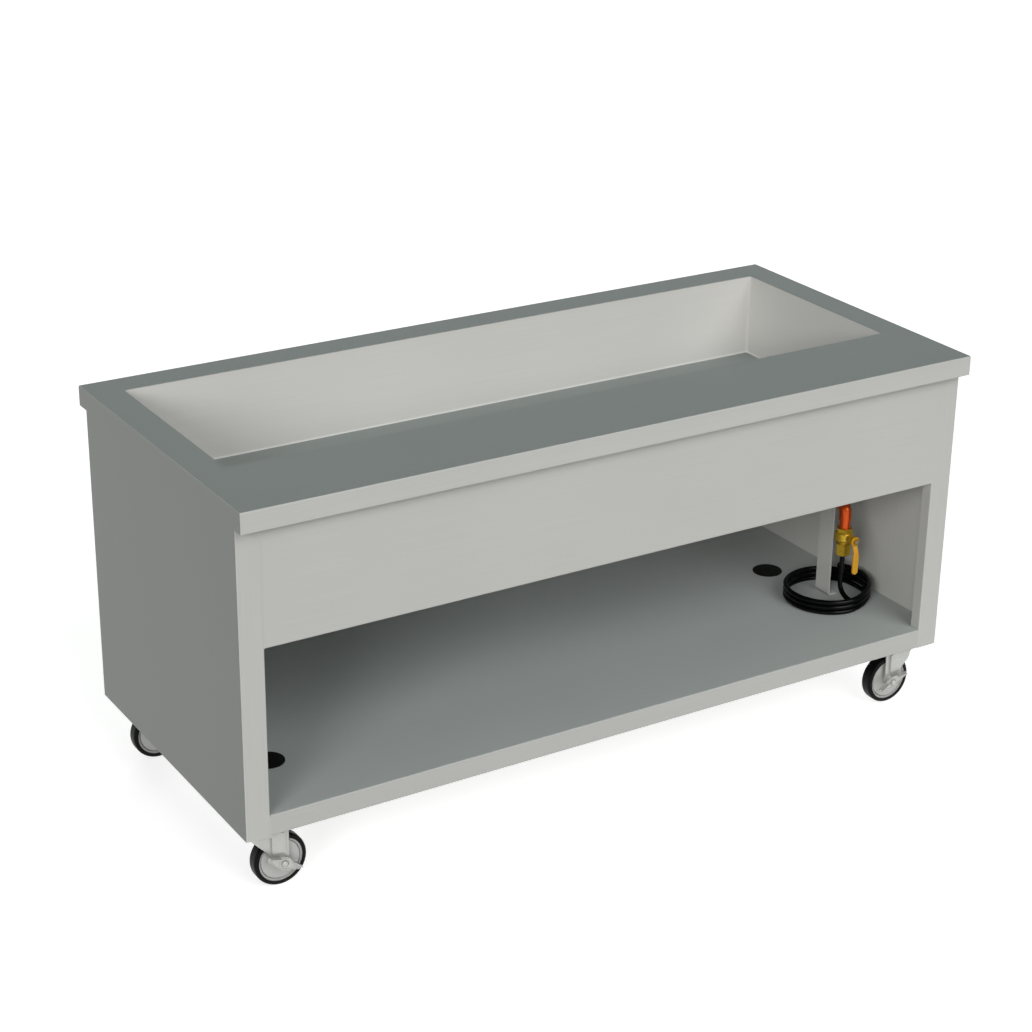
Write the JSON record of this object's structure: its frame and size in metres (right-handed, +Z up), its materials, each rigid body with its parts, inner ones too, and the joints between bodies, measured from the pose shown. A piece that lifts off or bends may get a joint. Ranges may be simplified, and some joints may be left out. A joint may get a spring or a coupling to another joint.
{
  "type": "refrigerated buffet counter",
  "caption": "Long mobile buffet counter on casters: stainless body with an insulated open cold well, worktop rim, open lower shelf and a valved drain with a coiled hose.",
  "frame": {"origin": "on the floor, under the middle of the counter", "axes": "+X along the counter to the right seen from the open front, +Y from the open front to the closed rear, +Z up"},
  "size_m": [1.88, 0.838, 0.919],
  "materials": {
    "stainless_top": "fine brushed stainless sheet",
    "stainless_well": "satin stainless pan",
    "stainless_body": "fine brushed stainless sheet",
    "stainless_shelf": "fine brushed stainless sheet",
    "galvanised": "galvanised sheet",
    "foam": "rigid foam",
    "black_plastic": "moulded, matt",
    "zinc_plate": "bright zinc plating",
    "wheel_grey": "die-cast, satin",
    "tyre_rubber": "solid rubber tread",
    "copper": "drawn copper tube",
    "brass": "forged brass",
    "bright_steel": "plated steel",
    "yellow_vinyl": "dipped vinyl",
    "white_seat": "moulded seat ring",
    "gasket_rubber": "moulded",
    "hose_rubber": "extruded, semi-gloss"
  },
  "bodies": {
    "cabinet": {"bottom_shelf": "stainless_shelf", "caster_bolts": "zinc_plate", "caster_plate_front_left": "zinc_plate", "caster_plate_front_right": "zinc_plate", "caster_plate_rear_left": "zinc_plate", "caster_plate_rear_right": "zinc_plate", "cold_well_liner": "stainless_well", "countertop": "stainless_top", "drain_bracket": "stainless_body", "drain_drop": "copper", "drain_elbow_front": "copper", "drain_elbow_rear": "copper", "drain_gasket": "gasket_rubber", "drain_hose_coil": "hose_rubber", "drain_hose_drop": "hose_rubber", "drain_locknut": "brass", "drain_outlet": "stainless_well", "drain_riser": "copper", "drain_run": "copper", "drain_strainer": "stainless_well", "front_apron": "stainless_body", "front_stiffener": "galvanised", "hose_adapter": "brass", "left_caster_channel": "galvanised", "left_end_panel": "stainless_body", "packing_nut": "brass", "pipe_strap": "galvanised", "rear_panel": "stainless_body", "right_caster_channel": "galvanised", "right_end_panel": "stainless_body", "shelf_plug_left": "black_plastic", "shelf_plug_right": "black_plastic", "valve_body": "brass", "valve_seats": "white_seat", "well_insulation": "foam", "well_jacket": "galvanised"},
    "fork_front_left": {"caster_fork_front_left": "zinc_plate", "caster_axle_front_left": "zinc_plate"},
    "wheel_front_left": {"wheel_hub_front_left": "wheel_grey", "tyre_front_left": "tyre_rubber"},
    "brake_front_left": {"brake_lever_front_left": "zinc_plate"},
    "fork_front_right": {"caster_fork_front_right": "zinc_plate", "caster_axle_front_right": "zinc_plate"},
    "wheel_front_right": {"wheel_hub_front_right": "wheel_grey", "tyre_front_right": "tyre_rubber"},
    "brake_front_right": {"brake_lever_front_right": "zinc_plate"},
    "fork_rear_left": {"caster_fork_rear_left": "zinc_plate", "caster_axle_rear_left": "zinc_plate"},
    "wheel_rear_left": {"wheel_hub_rear_left": "wheel_grey", "tyre_rear_left": "tyre_rubber"},
    "fork_rear_right": {"caster_fork_rear_right": "zinc_plate", "caster_axle_rear_right": "zinc_plate"},
    "wheel_rear_right": {"wheel_hub_rear_right": "wheel_grey", "tyre_rear_right": "tyre_rubber"},
    "valve_rotor": {"valve_ball": "bright_steel", "valve_stem": "bright_steel", "valve_lever": "yellow_vinyl", "lever_grip": "yellow_vinyl", "lever_nut": "brass"}
  },
  "joints": [
    {"name": "swivel_front_left", "type": "hinge", "parent": "cabinet", "child": "fork_front_left", "pos_m": [-0.873, -0.325, 0.141], "axis": [0, 0, 1], "continuous": true},
    {"name": "roll_front_left", "type": "hinge", "parent": "fork_front_left", "child": "wheel_front_left", "pos_m": [-0.838, -0.325, 0.062], "axis": [0, 1, 0], "continuous": true},
    {"name": "brake_front_left", "type": "hinge", "parent": "fork_front_left", "child": "brake_front_left", "pos_m": [-0.838, -0.325, 0.062], "axis": [0, -1, 0], "range_deg": [0, 50]},
    {"name": "swivel_front_right", "type": "hinge", "parent": "cabinet", "child": "fork_front_right", "pos_m": [0.873, -0.325, 0.141], "axis": [0, 0, 1], "continuous": true},
    {"name": "roll_front_right", "type": "hinge", "parent": "fork_front_right", "child": "wheel_front_right", "pos_m": [0.838, -0.325, 0.062], "axis": [0, 1, 0], "continuous": true},
    {"name": "brake_front_right", "type": "hinge", "parent": "fork_front_right", "child": "brake_front_right", "pos_m": [0.838, -0.325, 0.062], "axis": [0, 1, 0], "range_deg": [0, 50]},
    {"name": "swivel_rear_left", "type": "hinge", "parent": "cabinet", "child": "fork_rear_left", "pos_m": [-0.873, 0.325, 0.141], "axis": [0, 0, 1], "continuous": true},
    {"name": "roll_rear_left", "type": "hinge", "parent": "fork_rear_left", "child": "wheel_rear_left", "pos_m": [-0.838, 0.325, 0.062], "axis": [0, 1, 0], "continuous": true},
    {"name": "swivel_rear_right", "type": "hinge", "parent": "cabinet", "child": "fork_rear_right", "pos_m": [0.873, 0.325, 0.141], "axis": [0, 0, 1], "continuous": true},
    {"name": "roll_rear_right", "type": "hinge", "parent": "fork_rear_right", "child": "wheel_rear_right", "pos_m": [0.838, 0.325, 0.062], "axis": [0, 1, 0], "continuous": true},
    {"name": "valve_turn", "type": "hinge", "parent": "cabinet", "child": "valve_rotor", "pos_m": [0.8, -0.177, 0.399], "axis": [0, 1, 0], "range_deg": [0, 90]}
  ]
}
